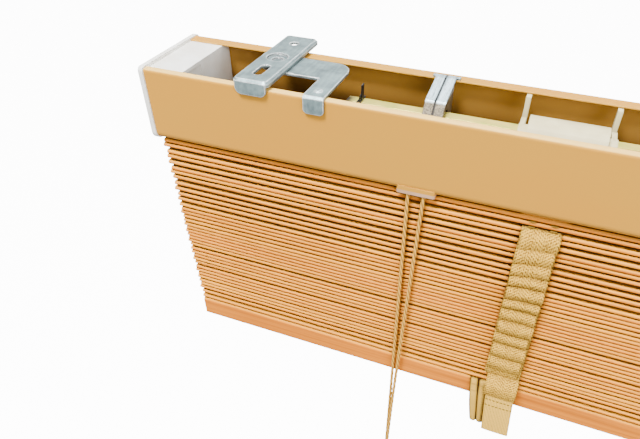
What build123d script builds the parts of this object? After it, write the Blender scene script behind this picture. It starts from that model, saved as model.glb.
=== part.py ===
from build123d import *
import os
from math import cos, radians, sin

# A wooden venetian blind, drawn up, in millimetres.
# X runs along the headrail, Y from the room to the window, and Z up.
# The origin is midway between the two brackets' screw holes, on the brackets' top faces.

# Headrail, a channel folded from painted steel sheet
rail_length = 900.0
rail_depth = 57.0
rail_height = 43.5
rail_sheet = 0.8
rail_bend = 4.6
lip_bend = 1.6
front_lip = 4.0
back_lip = 8.5

# Swivel brackets, pressed from zinc-plated steel
bracket_inset = 68.0
bracket_width = 21.0
bracket_sheet = 1.5
bracket_rise = 4.8
bracket_flange = 2.9
bracket_corner = 3.0
bracket_edge = 1.2
bracket_overhang = 9.5
hook_depth = 8.4
hook_width = 18.0
hook_corner = 3.5
hook_gap = 0.3
screw_from_front = 54.0
screw_hole = 5.2
pivot_from_front = 32.0
pivot_cup = 12.0
pivot_cup_depth = 1.2
pivot_step = 6.4
pivot_step_depth = 2.2
pivot_pin = 8.0
pivot_flare = 11.0
pivot_flare_sheet = 0.8
pivot_sides = 16
slot_from_front = 13.0
slot_length = 14.0
slot_width = 5.5
claw_width = 8.0
claw_sheet = 1.2
claw_reach = 5.5
claw_gap = 0.4

# Swivel levers under the brackets
lever_sheet = 1.5
lever_gap = 0.2
lever_reach = 41.5
lever_arm = 22.5
lever_heel = 19.0
lever_finger = 11.5
lever_corner = 10.0
lever_hook = 8.2
lever_hook_corner = 2.5
lever_hook_bend = 1.2
lever_dimple = 4.4
lever_dimple_rise = 0.7
dimple_sides = 12
dimple_taper = 45.0
lever_dimple_from_front = 6.0

# Moulded end caps
cap_plate = 3.0
cap_overlap = 0.8
cap_plug = 22.0
cap_wall = 2.2
cap_clearance = 0.15
cap_step = 1.2

# Tilt rod, its clip and the drums that it turns
rod_side = 6.35
rod_drop = 13.7
rod_past_lock = 49.0
rod_past_tilter = 18.0
rod_clearance = 0.12
clip_from_rod_end = 6.0
clip_sheet = 0.7
clip_width = 9.5
clip_foot = 5.8
clip_short_leg = 6.4
clip_long_leg = 12.4
clip_spread = 4.4
clip_lean = 2.4
clip_tip = 3.0
drum_length = 38.0
drum_radius = 10.0
drum_sides = 24
journal_radius = 5.0
journal_reach = 4.6
journal_clearance = 0.06

# Cradles that carry the drums
cradle_length = 47.0
cradle_base = 2.5
cradle_margin = 5.0
cradle_wall = 2.6
cradle_wall_depth = 25.0
cradle_wall_above = 3.0
cradle_arch = 13.0
cradle_arch_height = 13.0
cradle_post = 4.0
cradle_post_gap = 0.3
cradle_post_from_back = 12.5

# Ladders of woven tape
ladder_inset = 227.0
ladder_pitch = 42.0
tape_width = 20.0
tape_slot = 4.0
tape_slot_margin = 1.5
tape_clear = 0.3
tape_bulge = 8.0
tape_first_bulge = 3.4
tape_over_rail = 4.0
fold_shares = (1.2, 1, 0.95, 0.85, 1, 0.85, 1.1, 1.25, 1.05, 1.3, 1.3, 1, 2)
tape_growth_folds = 5
tape_tuck = 9.0
tape_tuck_sheet = 0.9
tape_tail_drop = 27.0
tape_tail_width = 7.0
fold_notch_share = 0.62
fold_low_shares = (0.55, 0.86)

# Slats and the bottom rail
slat_count = 38
slat_length = 894.0
slat_margin = 3.5
slat_thickness = 2.6
slat_edge = 0.8
slat_gap = 1.0
slat_gap_shares = (
    (1.67, 0.7, 1.95, 0.68, 1.73, 1.61, 0.22, 1.02, 2.12, 1.72, 1.43, 1.4, 2.02)
    + (0.78, 0.22, 0.58, 0.71, 0.83, 0.22, 0.22, 0.22, 0.22, 0.22, 0.22, 1.67, 0.68)
    + (0.36, 0.71, 0.43, 1.78, 0.57, 0.58, 0.56, 1.17, 0.35, 0.84, 1.64, 2.32)
)
slat_drift = 5.0
slat_jitter = 0.7
slat_jitter_turn = 137.5
route_length = 20.0
route_width = 7.0
bottom_height = 17.2
bottom_edge = 2.6
bottom_gap = 0.84
button_radius = 9.0
button_rim = 2.4
button_stem_radius = 4.6
button_stem = 5.0
button_stem_sides = 8
button_clearance = 0.1

# Cord lock, folded from zinc-plated steel, and its ferrule
lock_to_ladder = 66.5
lock_sheet = 1.2
lock_width = 11.0
lock_ear_width = 15.0
lock_ear = 2.6
lock_crease = 0.8
lock_crease_depth = 0.5
lock_break_from_front = 27.0
lock_break_drop = 3.4
lock_apron_from_front = 9.0
lock_apron_drop = 21.4
lock_cheek_back = 44.0
lock_rod_hole = 6.0
lock_rod_hole_sides = 8
lock_window_height = 16.0
lock_gate = 10.5
lock_window_depth = 5.4
roller_radius = 4.0
roller_sides = 16
roller_length = 8.0
roller_pin = 1.5
roller_drop = 32.0
roller_travel = 5.0
roller_climb = 55.0
roller_clearance = 0.15
ferrule_length = 21.0
ferrule_depth = 8.9
ferrule_proud = 0.3
ferrule_wall = 0.7
ferrule_below = 1.4
ferrule_mouth = 13.6
ferrule_height = 3.0
ferrule_corner = 1.2

# Tilter at the right, with the shaft that turns the rod
tilter_to_ladder = 67.0
tilter_length = 22.0
tilter_front_gap = 3.2
tilter_depth = 43.0
tilter_drop = 3.0
tilter_corner = 4.0
tilter_rod_hole = 4.8
shaft_radius = 3.0
shaft_lean = 40.0
shaft_inside = 14.0
shaft_outside = 7.0
shaft_hole = 4.2
shaft_clearance = 0.06
shaft_from_front = 2.2
shaft_above_floor = 2.0
eye_sheet = 2.4
eye_radius = 3.0
eye_hole = 1.6

# Cords
cord_diameter = 2.2
cord_sides = 8
cord_from_front = 1.5
cord_spread = 8.6
cord_joint = 0.1
lock_bend_share = 0.9
near_run_share = 0.5
far_run_share = 1.75
lock_cord_spread = 5.6
lock_cord_from_front = 10.9
pull_left_shift_share = 0.384
pull_left_end_front = 0.4
pull_right_shift_shares = (0.07, 0.244)
pull_right_bend_front = -0.9
pull_right_bend_drop = 190.0
pull_right_end_front = -2.3
pull_right_bend = 500.0
hank_drop = 282.0
hank_run = 37.4
hank_radius = 6.6
hank_pitch = 2.3
hank_layers = 4
hank_rows = 6
hank_clear = 0.6
hank_corner_share = 0.58
tassel_radius = 6.6
tassel_sides = 12
tassel_height = 30.0
tassel_down_shares = (0, 0.14, 0.3, 0.46, 0.84, 0.93, 1)
tassel_width_shares = (0.5, 0.68, 0.88, 1.0, 0.86, 0.66)

# One overrun serves every cut
overrun = 2.0

# Places that follow from the sizes above
rail_front = -screw_from_front
rail_back = rail_front + rail_depth
rail_middle = rail_front + rail_depth / 2
rail_left = -rail_length / 2
rail_right = rail_length / 2
lip_top = -bracket_rise
lip_under = lip_top - rail_sheet
floor_under = lip_top - rail_height
floor_top = floor_under + rail_sheet
rod_axis = lip_top - rod_drop
ladder_places = (rail_left + ladder_inset, rail_right - ladder_inset)
bracket_places = (rail_left + bracket_inset, rail_right - bracket_inset)
lock_inset = ladder_inset - lock_to_ladder
tilter_inset = ladder_inset - tilter_to_ladder
rod_left_inset = lock_inset - rod_past_lock
rod_right_inset = tilter_inset - rod_past_tilter
lock_x = rail_left + lock_inset
tilter_x = rail_right - tilter_inset
slat_depth = rail_depth - 2 * slat_margin
slat_front = rail_front + slat_margin
slat_back = rail_back - slat_margin
pivot_y = rail_front + pivot_from_front
lever_under = lip_top + lever_gap
lever_top = lever_under + lever_sheet


# A box between two corners
def block(x_span, y_span, z_span):
    spans = (x_span, y_span, z_span)
    middle = [(start + end) / 2 for start, end in spans]
    sides = [end - start for start, end in spans]
    return Pos(*middle) * Box(*sides)


# A flat outline in Y and Z, pulled along X
def along_x(outline, start, end):
    return extrude(Plane.YZ.offset(start) * outline, amount=end - start)


# A disc with its axis along X
def disc_x(radius, start, end, y, z):
    return along_x(Pos(y, z) * Circle(radius), start, end)


# The outline of a strip of sheet that is folded along a line of points
def folded_strip(points, sheet):
    left = []
    right = []
    for number, point in enumerate(points):
        here = Vector(*point)
        before = Vector(*points[max(number - 1, 0)])
        after = Vector(*points[min(number + 1, len(points) - 1)])
        into = (here - before) if number else (after - here)
        out = (after - here) if number < len(points) - 1 else into
        side_in = Vector(-into.Y, into.X).normalized()
        side_out = Vector(-out.Y, out.X).normalized()
        mitre = (side_in + side_out).normalized()
        reach = sheet / 2 / mitre.dot(side_in)
        left.append(here + mitre * reach)
        right.append(here - mitre * reach)
    corners = left + right[::-1]
    return make_face(Polyline(*corners, close=True))


# A round bar along straight runs, with rounded or mitred corners
def cord_bar(points, radii, diameter):
    path = FilletPolyline(*points, radius=radii) if radii else Polyline(*points)
    section = Plane(origin=path @ 0, z_dir=path % 0) * RegularPolygon(diameter / 2, cord_sides)
    return sweep(section, path=path, transition=Transition.RIGHT)


# Every solid of one node goes into one file
def save(name, *shapes):
    solids = [solid for shape in shapes for solid in shape.solids()]
    export_step(Compound(solids), f"parts/{name}.step")


# Headrail

def rail_outline(wall):
    depth = rail_depth - 2 * wall
    height = rail_height - 2 * wall
    outline = Pos(rail_middle, (lip_top + floor_under) / 2) * Rectangle(depth, height)
    rows = outline.vertices().group_by(Axis.Y)
    outline = fillet(rows[0], rail_bend - wall)
    rows = outline.vertices().group_by(Axis.Y)
    return fillet(rows[-1], lip_bend - wall)


def ferrule_spans(grown):
    x_span = (lock_x - ferrule_length / 2 - grown, lock_x + ferrule_length / 2 + grown)
    y_span = (rail_front - ferrule_proud - grown, rail_front - ferrule_proud + ferrule_depth + grown)
    return x_span, y_span


def shaft_plane():
    tip = Vector(tilter_x, rail_front + shaft_from_front, floor_under + shaft_above_floor)
    lean = radians(shaft_lean)
    return Plane(origin=tip, x_dir=(1, 0, 0), z_dir=(0, -sin(lean), -cos(lean)))


def tape_slots():
    cuts = []
    depth_span = (floor_under - overrun, floor_top + cradle_base + overrun)
    hole_span = (rail_middle - route_width / 2, rail_middle + route_width / 2)
    for place in ladder_places:
        half = tape_width / 2 + tape_slot_margin
        for edge, inward in ((rail_front + rail_bend, 1), (rail_back - rail_bend, -1)):
            ends = sorted((edge, edge + inward * tape_slot))
            cuts.append(block((place - half, place + half), ends, depth_span))
        cuts.append(block((place - route_width / 2, place + route_width / 2), hole_span, depth_span))
    return cuts


def headrail():
    mouth_front = rail_front + front_lip
    mouth_back = rail_back - back_lip
    mouth = Pos((mouth_front + mouth_back) / 2, lip_top) * Rectangle(mouth_back - mouth_front, 2 * lip_bend)
    section = rail_outline(0) - rail_outline(rail_sheet) - mouth
    rail = along_x(section, rail_left, rail_right)
    for cut in tape_slots():
        rail -= cut
    x_span, y_span = ferrule_spans(0)
    z_span = (floor_under - overrun, floor_under + ferrule_height)
    rail -= block(x_span, (y_span[0] - overrun, y_span[1]), z_span)
    rail -= shaft_plane() * Cylinder(shaft_hole, 2 * shaft_outside)
    return rail


# End caps

def end_cap():
    plate_outline = offset(rail_outline(0), cap_overlap)
    plate = along_x(plate_outline, rail_left - cap_plate, rail_left)
    inside = rail_sheet + cap_clearance
    top = lip_under - cap_clearance
    trim = Pos(rail_middle, top + rail_height / 2) * Rectangle(2 * rail_depth, rail_height)
    plug_outline = rail_outline(inside) - trim
    plug = along_x(plug_outline, rail_left, rail_left + cap_plug)
    front = rail_front + inside + cap_wall
    back = rail_back - inside - cap_wall
    hollow = block(
        (rail_left, rail_left + cap_plug - cap_wall - cap_step),
        (front, back),
        (floor_under, top - cap_wall),
    )
    step = block(
        (rail_left + cap_plug - cap_step, rail_left + cap_plug + overrun),
        (rail_front, rail_middle - rail_bend),
        (floor_under, top - cap_wall),
    )
    return plate + plug - hollow - step


# Brackets and levers

def bracket(place):
    front = rail_front - hook_gap - bracket_sheet
    back = rail_back + bracket_overhang
    length = back - front
    middle = (front + back) / 2
    outer = extrude(Rectangle(bracket_width, length), amount=-bracket_flange)
    outer = fillet(outer.edges().filter_by(Axis.Z), bracket_corner)
    outer = chamfer(outer.faces().sort_by(Axis.Z)[-1].edges(), bracket_edge)
    inner_depth = bracket_flange - bracket_sheet
    inner = Rectangle(bracket_width - 2 * bracket_sheet, length - 2 * bracket_sheet)
    inner = Pos(0, 0, -bracket_flange) * extrude(inner, amount=inner_depth)
    tray = Pos(place, middle, 0) * (outer - inner)
    hook = Rectangle(hook_width, hook_depth - bracket_edge)
    hook = fillet(hook.vertices().group_by(Axis.Y)[0], hook_corner)
    hook_middle = -(hook_depth + bracket_edge) / 2
    tray += extrude(Plane.XZ.offset(-front) * (Pos(place, hook_middle) * hook), amount=-bracket_sheet)
    pin_low = lever_under - lever_gap / 4
    cup_low = lever_top + lever_gap / 4
    cup = RegularPolygon(pivot_cup / 2 + bracket_sheet, pivot_sides)
    cup = Pos(place, pivot_y, cup_low) * extrude(cup, amount=-cup_low - bracket_sheet)
    pin = Pos(place, pivot_y, (pin_low + cup_low) / 2) * Cylinder(pivot_pin / 2, cup_low - pin_low)
    flare = extrude(RegularPolygon(pivot_flare / 2, pivot_sides), amount=-pivot_flare_sheet)
    flare = Pos(place, pivot_y, pin_low) * flare
    recess = Pos(place, pivot_y, 0) * Cylinder(pivot_cup / 2, 2 * pivot_cup_depth)
    recess += Pos(place, pivot_y, 0) * Cylinder(pivot_step / 2, 2 * pivot_step_depth)
    screw = Pos(place, 0, 0) * Cylinder(screw_hole / 2, 2 * bracket_flange)
    slot = Pos(place, rail_front + slot_from_front) * SlotOverall(slot_length, slot_width, rotation=90)
    slot = extrude(slot, amount=-bracket_flange)
    tab_front = rail_back - back_lip - claw_gap - claw_sheet
    half = claw_width / 2
    claw_points = (
        (tab_front + claw_sheet / 2, -bracket_sheet),
        (tab_front + claw_sheet / 2, lip_under - claw_gap - claw_sheet / 2),
        (tab_front + claw_sheet + claw_gap + claw_reach, lip_under - claw_gap - claw_sheet / 2),
    )
    claw = along_x(folded_strip(claw_points, claw_sheet), place - half, place + half)
    return tray + cup + pin + flare + claw - recess - screw - slot


def lever(place):
    finger_front = -pivot_from_front - hook_gap - lever_sheet
    finger_left = lever_reach - lever_finger
    arm = Pos(lever_reach / 2, 0) * Rectangle(lever_reach, lever_arm)
    finger_length = lever_arm / 2 - finger_front
    finger_middle = (lever_arm / 2 + finger_front) / 2
    finger = Pos((finger_left + lever_reach) / 2, finger_middle) * Rectangle(lever_finger, finger_length)
    outline = arm + finger
    corner = outline.vertices().sort_by(lambda vertex: vertex.X + vertex.Y)[-1]
    outline = fillet(corner, lever_corner)
    outline += Circle(lever_heel / 2)
    outline -= Circle(pivot_pin / 2 + journal_clearance)
    blank = extrude(outline, amount=lever_sheet)
    hook = Rectangle(lever_finger, lever_hook + lever_sheet)
    hook = fillet(hook.vertices().group_by(Axis.Y)[0], lever_hook_corner)
    hook_place = Pos((finger_left + lever_reach) / 2, (lever_sheet - lever_hook) / 2)
    blank += extrude(Plane.XZ.offset(-finger_front) * (hook_place * hook), amount=-lever_sheet)
    bend = blank.edges().filter_by(Axis.X).group_by(Axis.Y)[0].sort_by(Axis.Z)[-1]
    blank = chamfer(bend, lever_hook_bend)
    dimple = RegularPolygon(lever_dimple / 2, dimple_sides)
    dimple = extrude(dimple, amount=lever_dimple_rise, taper=dimple_taper)
    dimple_y = finger_front + lever_sheet + hook_gap + lever_dimple_from_front
    dimple_place = Pos((finger_left + lever_reach) / 2, dimple_y, lever_sheet)
    return Pos(place, pivot_y, lever_under) * (blank + dimple_place * dimple)


# Cord lock

def lock_profile():
    ear_back = rail_back - back_lip + lock_ear
    ear_z = lip_top + lock_sheet / 2
    return (
        (ear_back, ear_z),
        (rail_back - back_lip - lock_sheet, ear_z),
        (rail_front + lock_break_from_front, lip_top - lock_break_drop),
        (rail_front + lock_apron_from_front, lip_top - lock_apron_drop),
        (rail_front + lock_apron_from_front, floor_top),
    )


def roller_place():
    wall = rail_front + lock_apron_from_front + lock_sheet / 2
    gap = (lock_cord_from_front - lock_apron_from_front - lock_sheet / 2) * 2
    return wall + gap + roller_radius, lip_top - roller_drop


def cord_lock_frame():
    half = lock_width / 2
    profile = lock_profile()
    strap = along_x(folded_strip(profile, lock_sheet), lock_x - half, lock_x + half)
    ear_half = lock_ear_width / 2
    ear_back, ear_z = profile[0]
    ear = block(
        (lock_x - ear_half, lock_x + ear_half),
        (ear_back - lock_ear + claw_gap, ear_back),
        (ear_z - lock_sheet / 2, ear_z + lock_sheet / 2),
    )
    back = rail_front + lock_cheek_back
    cheek_points = ((back, profile[1][1] - lock_sheet),) + profile[2:] + ((back, floor_top),)
    cheek_outline = make_face(Polyline(*cheek_points, close=True))
    cheek_outline -= Pos(rail_middle, rod_axis) * RegularPolygon(lock_rod_hole, lock_rod_hole_sides)
    roller_y, roller_z = roller_place()
    climb = radians(roller_climb)
    slot_middle = Pos(
        roller_y + roller_travel / 2 * cos(climb),
        roller_z + roller_travel / 2 * sin(climb),
    )
    slot_wide = 2 * (roller_pin + roller_clearance)
    cheek_outline -= slot_middle * SlotOverall(roller_travel + slot_wide, slot_wide, rotation=roller_climb)
    window_y = rail_front + lock_cord_from_front
    window = Pos(window_y, roller_z + roller_radius / 2) * Rectangle(lock_window_depth, lock_window_height)
    left = along_x(cheek_outline, lock_x - half, lock_x - half + lock_sheet)
    right = along_x(cheek_outline - window, lock_x + half - lock_sheet, lock_x + half)
    crease = along_x(
        folded_strip([(y, z + lock_sheet / 2) for y, z in profile[1:4]], 2 * lock_crease_depth),
        lock_x - lock_crease / 2,
        lock_x + lock_crease / 2,
    )
    x_span, y_span = ferrule_spans(journal_clearance)
    room = block(x_span, y_span, (floor_under, floor_under + ferrule_height + journal_clearance))
    gate_half = half - lock_sheet
    gate_back = rail_front + lock_apron_from_front + lock_sheet
    gate = block(
        (lock_x - gate_half, lock_x + gate_half),
        (rail_front, gate_back),
        (floor_under, floor_top + lock_gate),
    )
    return strap + ear + left + right - crease - room - gate


def cord_lock_roller():
    roller_y, roller_z = roller_place()
    half = roller_length / 2
    pin_half = lock_width / 2
    ribbed = Pos(roller_y, roller_z) * RegularPolygon(roller_radius, roller_sides)
    barrel = along_x(ribbed, lock_x - half, lock_x + half)
    return barrel + disc_x(roller_pin, lock_x - pin_half, lock_x + pin_half, roller_y, roller_z)


def cord_ferrule():
    x_span, y_span = ferrule_spans(0)
    middle = ((x_span[0] + x_span[1]) / 2, (y_span[0] + y_span[1]) / 2)
    outline = RectangleRounded(ferrule_length, ferrule_depth, ferrule_corner)
    mouth = RectangleRounded(ferrule_mouth, ferrule_depth - 2 * ferrule_wall, ferrule_corner)
    low = floor_under - ferrule_below
    return Pos(*middle, low) * extrude(outline - mouth, amount=ferrule_height + ferrule_below)


# Tilt rod, drums and cradles

def rod_bore(grown):
    return Pos(rail_middle, rod_axis) * Rectangle(rod_side + 2 * grown, rod_side + 2 * grown)


def tilt_rod():
    return along_x(rod_bore(0), rail_left + rod_left_inset, rail_right - rod_right_inset)


def rod_clip():
    place = rail_left + rod_left_inset + clip_from_rod_end
    half = clip_spread / 2
    points = (
        (half - clip_lean / 4, clip_short_leg),
        (-half, -clip_foot),
        (half, -clip_foot),
        (clip_lean, clip_long_leg),
    )
    strip = extrude(Plane.XZ * folded_strip(points, clip_sheet), amount=clip_width / 2, both=True)
    bore = rod_side / 2 + rod_clearance
    strip -= block((-clip_spread, clip_spread), (-bore, bore), (-bore, bore))
    tip_low = bore + clip_sheet
    for side in (-1, 1):
        ends = sorted((side * clip_tip / 2, side * clip_width))
        strip -= block((-clip_spread, 2 * clip_spread), ends, (tip_low, 2 * clip_long_leg))
    return Pos(place, rail_middle, rod_axis) * strip


def tilt_drum(place):
    half = drum_length / 2
    journal = half + journal_reach
    ribbed = Pos(rail_middle, rod_axis) * RegularPolygon(drum_radius, drum_sides)
    drum = along_x(ribbed, place - half, place + half)
    drum += disc_x(journal_radius, place - journal, place + journal, rail_middle, rod_axis)
    return drum - along_x(rod_bore(rod_clearance), place - journal - overrun, place + journal + overrun)


def cradle(place):
    half = cradle_length / 2
    front = rail_front + cradle_margin
    back = rail_back - cradle_margin
    body = block((place - half, place + half), (front, back), (floor_top, floor_top + cradle_base))
    wall_top = rod_axis + cradle_wall_above
    base_top = floor_top + cradle_base
    wall = Rectangle(cradle_wall_depth, wall_top - base_top)
    wall = Pos(rail_middle, (wall_top + base_top) / 2) * wall
    arch = Rectangle(cradle_arch, cradle_arch_height)
    arch = Pos(rail_middle, base_top + cradle_arch_height / 2) * arch
    arch = chamfer(arch.vertices().group_by(Axis.Y)[-1], cradle_arch / 4)
    seat = journal_radius + journal_clearance
    notch = Pos(rail_middle, rod_axis) * Circle(seat)
    notch += Pos(rail_middle, rod_axis + cradle_wall_above) * Rectangle(2 * seat, 2 * cradle_wall_above)
    wall -= arch
    wall -= notch
    post_back = rail_back - cradle_post_from_back + cradle_post
    for side in (-1, 1):
        wall_ends = sorted((place + side * half, place + side * (half - cradle_wall)))
        body += along_x(wall, *wall_ends)
        post_ends = (post_back - cradle_post, post_back)
        body += block(wall_ends, post_ends, (base_top, lip_under - cradle_post_gap))
    for cut in tape_slots():
        body -= cut
    return body


# Tilter

def tilter_case():
    half = tilter_length / 2
    front = rail_front + tilter_front_gap
    high = lip_top - tilter_drop
    outline = Rectangle(tilter_depth, high - floor_top)
    outline = Pos(front + tilter_depth / 2, (high + floor_top) / 2) * outline
    outline = chamfer(outline.vertices(), tilter_corner)
    outline -= Pos(rail_middle, rod_axis) * Circle(tilter_rod_hole)
    case = along_x(outline, tilter_x - half, tilter_x + half)
    bore = extrude(Circle(shaft_radius + shaft_clearance), amount=-shaft_inside - shaft_clearance)
    mouth = extrude(Circle(shaft_radius + shaft_clearance), amount=shaft_outside)
    return case - shaft_plane() * bore - shaft_plane() * mouth


def tilter_shaft():
    stem = extrude(Pos(0, 0, -shaft_inside) * Circle(shaft_radius), amount=shaft_inside + shaft_outside)
    eye = Pos(0, shaft_outside + eye_radius) * Circle(eye_radius)
    eye += Pos(0, shaft_outside + eye_radius / 2) * Rectangle(2 * eye_radius, eye_radius)
    eye -= Pos(0, shaft_outside + eye_radius) * Circle(eye_hole)
    tab = Rot(90, 0, 0) * extrude(eye, amount=eye_sheet / 2, both=True)
    return shaft_plane() * (stem + tab)


# Slats and bottom rail

def slat_top(number):
    gaps = slat_gap * sum(slat_gap_shares[:number])
    return floor_under - gaps - (number - 1) * slat_thickness


def slat_shift(number):
    drift = slat_drift * ((number - 1) / (slat_count - 1) - 1 / 2)
    return drift + slat_jitter * sin(radians(slat_jitter_turn * number))


def slat(number):
    outline = Rectangle(slat_depth, slat_thickness)
    outline = Pos(rail_middle, slat_top(number) - slat_thickness / 2) * outline
    outline = chamfer(outline.vertices(), slat_edge)
    half = slat_length / 2
    shift = slat_shift(number)
    board = along_x(outline, shift - half, shift + half)
    for place in ladder_places:
        route = Box(route_width, route_length, 2 * slat_thickness + overrun)
        board -= Pos(place, rail_middle, slat_top(number)) * route
    return board


bottom_top = slat_top(slat_count) - slat_thickness - bottom_gap
bottom_low = bottom_top - bottom_height
lift_travel = (slat_count + 1) * ladder_pitch - (floor_under - bottom_top)


def bottom_rail():
    outline = Pos(rail_middle, bottom_top - bottom_height / 2) * Rectangle(slat_depth, bottom_height)
    outline = fillet(outline.vertices(), bottom_edge)
    half = slat_length / 2
    shift = slat_drift / 2
    rail = along_x(outline, shift - half, shift + half)
    for place in ladder_places:
        bore = button_stem_radius + button_clearance
        rail -= Pos(place, rail_middle, bottom_top) * Cylinder(bore, 2 * (bottom_height + overrun))
    return rail


def rail_button(place):
    rim = Pos(place, rail_middle, bottom_low - button_rim / 2) * Cylinder(button_radius, button_rim)
    stem = extrude(RegularPolygon(button_stem_radius, button_stem_sides), amount=button_stem)
    return rim + Pos(place, rail_middle, bottom_low) * stem


# Gathered tapes: a closed pack of drooping folds before and behind the slats

def tape_pack(place, side):
    edge = slat_front if side < 0 else slat_back
    seat = edge + side * tape_clear
    high = slat_top(2) - slat_thickness
    unit = (high - bottom_top + tape_over_rail) / sum(fold_shares)
    tuck_middle = (slat_top(2) - slat_thickness + slat_top(3)) / 2
    points = [(edge - side * tape_tuck, tuck_middle + tape_tuck_sheet / 2)]
    points.append((seat, tuck_middle + tape_tuck_sheet / 2))
    top = tuck_middle - tape_tuck_sheet / 2
    for fold in range(len(fold_shares)):
        low = high - unit * sum(fold_shares[: fold + 1])
        pitch = top - low
        ready = min(1, (fold + 1) / tape_growth_folds)
        depth = tape_first_bulge + (tape_bulge - tape_first_bulge) * ready
        if fold:
            points.append((seat + side * depth * fold_notch_share, top))
        out_shares = (1, fold_notch_share + (1 - fold_notch_share) / 2)
        for low_share, out_share in zip(fold_low_shares, out_shares):
            points.append((seat + side * depth * out_share, top - pitch * low_share))
        top = low
    tail_low = bottom_low - tape_tail_drop
    tail_out = seat + side * tape_tail_width
    points.append((tail_out, top))
    points.append((tail_out, tail_low + tape_tail_width / 2))
    points.append((seat + side * tape_tail_width / 2, tail_low))
    points.append((seat, tail_low + tape_tail_width / 2))
    points.append((seat, tuck_middle - tape_tuck_sheet / 2))
    points.append((edge - side * tape_tuck, tuck_middle - tape_tuck_sheet / 2))
    half = tape_width / 2
    return along_x(make_face(Polyline(*points, close=True)), place - half, place + half)


# Cords. Their points are written from the rail's left end, its front face and its lip.

def cord_point(from_left, from_front, drop):
    return (rail_left + from_left, rail_front + from_front, lip_top - drop)


near_ladder = ladder_inset
far_ladder = rail_length - ladder_inset
mouth_drop = rail_height + ferrule_below
lock_left = lock_inset - lock_cord_spread / 2
lock_right = lock_inset + lock_cord_spread / 2
exit_left = lock_inset - cord_spread / 2
exit_right = lock_inset + cord_spread / 2
cord_end_drop = lip_top - bottom_top + bottom_height / 2
lock_drop = roller_drop + roller_radius * lock_bend_share
near_run = roller_drop - roller_radius * near_run_share
far_run = roller_drop - roller_radius * far_run_share
near_cord = (
    (exit_right, cord_from_front, mouth_drop),
    (exit_right, cord_from_front, rail_height - rail_sheet),
    (lock_right, lock_cord_from_front, lock_drop),
    (lock_right, lock_cord_from_front, near_run),
    (lock_inset + lock_ear_width, lock_cord_from_front, near_run),
    (near_ladder - cradle_length / 2 - cord_diameter, rail_depth / 2, near_run),
    (near_ladder, rail_depth / 2, near_run),
    (near_ladder, rail_depth / 2, cord_end_drop),
)
far_turn = far_ladder - cradle_length / 2
far_cord = (
    (exit_left, cord_from_front, mouth_drop),
    (exit_left, cord_from_front, rail_height - rail_sheet),
    (lock_left, lock_cord_from_front, lock_drop),
    (lock_left, lock_cord_from_front, far_run),
    (far_turn - cradle_length, lock_cord_from_front, far_run),
    (far_turn - cord_diameter, rail_depth / 2, near_run),
    (far_ladder, rail_depth / 2, near_run),
    (far_ladder, rail_depth / 2, cord_end_drop),
)
pull_left = (
    (exit_left, cord_from_front, mouth_drop + cord_joint),
    (lock_inset - pull_left_shift_share * cord_spread, pull_left_end_front, hank_drop),
)
bend_share, end_share = pull_right_shift_shares
pull_right = (
    (exit_right, cord_from_front, mouth_drop + cord_joint),
    (lock_inset - bend_share * cord_spread, pull_right_bend_front, pull_right_bend_drop),
    (lock_inset - end_share * cord_spread, pull_right_end_front, hank_drop),
)


def routed(points):
    return [cord_point(*point) for point in points]


hank_half_width = hank_radius + (hank_layers - 1) * hank_pitch + cord_diameter / 2
hank_thick = hank_rows * hank_pitch
hank_x = rail_left + (pull_left[-1][0] + pull_right[-1][0]) / 2
hank_y = slat_front - hank_clear - hank_thick / 2
hank_high = lip_top - hank_drop
hank_tall = hank_run + 2 * hank_half_width


def cord_hank():
    outline = Rectangle(2 * hank_half_width, hank_tall)
    outline = chamfer(outline.vertices(), hank_half_width * hank_corner_share)
    solid = extrude(outline, amount=hank_thick / 2, both=True)
    return Pos(hank_x, hank_y, hank_high - hank_tall / 2) * (Rot(90, 0, 0) * solid)


def cord_tassel():
    high = hank_high - hank_tall
    steps = []
    for width_share, down, further in zip(tassel_width_shares, tassel_down_shares, tassel_down_shares[1:]):
        step = RegularPolygon(tassel_radius * width_share, tassel_sides)
        step = extrude(step, amount=-tassel_height * (further - down))
        steps.append(Pos(hank_x, hank_y, high - tassel_height * down) * step)
    return steps[0].fuse(*steps[1:])


os.makedirs("parts", exist_ok=True)
cap = end_cap()
save("headrail", headrail())
save("end_caps", cap, mirror(cap, about=Plane.YZ))
save("bracket_plates", *[bracket(place) for place in bracket_places])
for side_name, place in zip(("left", "right"), bracket_places):
    save(f"bracket_lever_{side_name}", lever(place))
save("cord_lock_frame", cord_lock_frame())
save("cord_lock_roller", cord_lock_roller())
save("cord_ferrule", cord_ferrule())
save("rod_cradles", *[cradle(place) for place in ladder_places])
save("tilt_rod", tilt_rod())
save("rod_clip", rod_clip())
save("tilt_drums", *[tilt_drum(place) for place in ladder_places])
save("tilter_case", tilter_case())
save("tilter_shaft", tilter_shaft())
for number in range(1, slat_count + 1):
    save(f"slat_{number:02d}", slat(number))
save("bottom_rail", bottom_rail())
save("rail_buttons", *[rail_button(place) for place in ladder_places])
save("ladder_tapes", *[tape_pack(place, side) for place in ladder_places for side in (-1, 1)])
near_bar = cord_bar(routed(near_cord), (), cord_diameter)
far_bar = cord_bar(routed(far_cord), (), cord_diameter)
save("lift_cords", near_bar, far_bar)
save("pull_cord_left", cord_bar(routed(pull_left), (), cord_diameter))
save("pull_cord_right", cord_bar(routed(pull_right), (pull_right_bend,), cord_diameter))
save("cord_hank", cord_hank())
save("cord_tassel", cord_tassel())
print("lift travel", round(lift_travel, 3))
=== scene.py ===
import math
import random

import bpy
from mathutils import Matrix, Vector


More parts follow.
